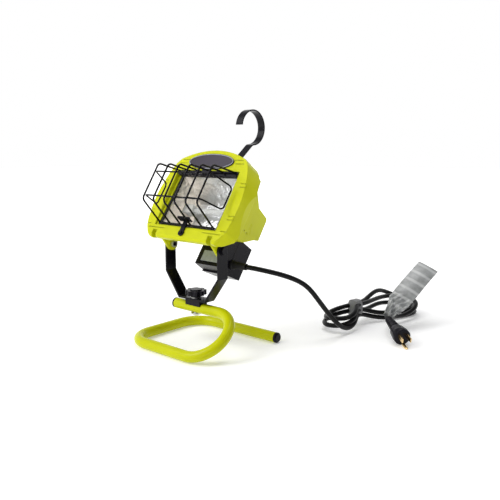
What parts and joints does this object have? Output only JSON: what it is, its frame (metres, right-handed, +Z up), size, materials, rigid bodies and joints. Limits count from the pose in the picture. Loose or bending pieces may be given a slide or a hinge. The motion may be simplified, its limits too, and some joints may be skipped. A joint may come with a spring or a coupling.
{
  "type": "portable work light",
  "caption": "Portable halogen work light: lamp head with wire guard and hanging hook, tilting yoke and bent-tube floor stand, with its mains cord.",
  "frame": {"origin": "on the floor, under the centre of the light's box without its cord", "axes": "+Z up, the lamp faces -Y, +X to the lamp's own side where the cord leaves"},
  "size_m": [0.3487, 0.4677, 0.3544],
  "materials": {
    "lime_paint": "gloss",
    "lime_casting": "satin gloss",
    "black_plastic": "satin",
    "black_steel": "satin",
    "zinc_steel": "satin",
    "black_rubber": "matte",
    "clear_glass": "clear",
    "bright_aluminium": "dimpled bright",
    "white_ceramic": "matte",
    "bulb_glass": "clear",
    "wire_sleeve": "woven",
    "brass_part": "satin",
    "badge_plastic": "gloss",
    "silver_label": "satin",
    "wire_nut_plastic": "matte",
    "cord_jacket": "satin",
    "tie_plastic": "satin",
    "tag_film": "satin"
  },
  "bodies": {
    "stand": {"stand_tube": "lime_paint", "stand_end_plugs": "black_plastic", "saddle_spacer": "black_plastic", "carriage_bolt": "zinc_steel"},
    "yoke": {"yoke_bracket": "black_steel", "knob_washer": "zinc_steel", "tilt_bolts": "black_steel", "tilt_washers": "black_steel", "tilt_nuts": "zinc_steel", "cord_lead": "cord_jacket", "cord_hank": "cord_jacket", "cord_tie": "tie_plastic", "cord_tag": "tag_film", "plug_body": "cord_jacket", "plug_blades": "brass_part", "ground_pin": "brass_part"},
    "swivel_knob": {"knob": "black_plastic"},
    "head": {"front_frame": "lime_casting", "rear_housing": "lime_casting", "housing_screws": "zinc_steel", "window_gasket": "black_rubber", "glass_lens": "clear_glass", "reflector": "bright_aluminium", "lamp_holders": "white_ceramic", "halogen_bulb": "bulb_glass", "lamp_wires": "wire_sleeve", "earth_screw": "brass_part", "badge": "badge_plastic", "top_rail": "black_plastic", "latch_stud": "black_steel", "hook": "black_steel", "hook_screws": "zinc_steel", "junction_box": "black_plastic", "box_cover": "black_plastic", "box_gasket": "black_rubber", "box_screws": "zinc_steel", "box_nipple": "zinc_steel", "rating_label": "silver_label", "wire_nuts": "wire_nut_plastic", "strain_relief": "black_rubber", "cord_inlet": "cord_jacket"},
    "guard": {"guard_wires": "black_steel", "guard_ring": "black_steel", "guard_bars": "black_steel", "latch_clip": "black_steel"}
  },
  "joints": [
    {"name": "yoke_swivel", "type": "hinge", "parent": "stand", "child": "yoke", "pos_m": [-0.0043, -0.03875, 0.07], "axis": [0, 0, 1], "range_deg": [-170, 170]},
    {"name": "knob_turn", "type": "hinge", "parent": "stand", "child": "swivel_knob", "pos_m": [-0.0043, -0.03875, 0.078], "axis": [0, 0, 1], "continuous": true},
    {"name": "head_tilt", "type": "hinge", "parent": "yoke", "child": "head", "pos_m": [-0.0043, -0.03875, 0.148], "axis": [1, 0, 0], "range_deg": [-25, 90]},
    {"name": "guard_hinge", "type": "hinge", "parent": "head", "child": "guard", "pos_m": [-0.0043, -0.0131, 0.25795], "axis": [-1, 0, 0], "range_deg": [0, 60]}
  ]
}
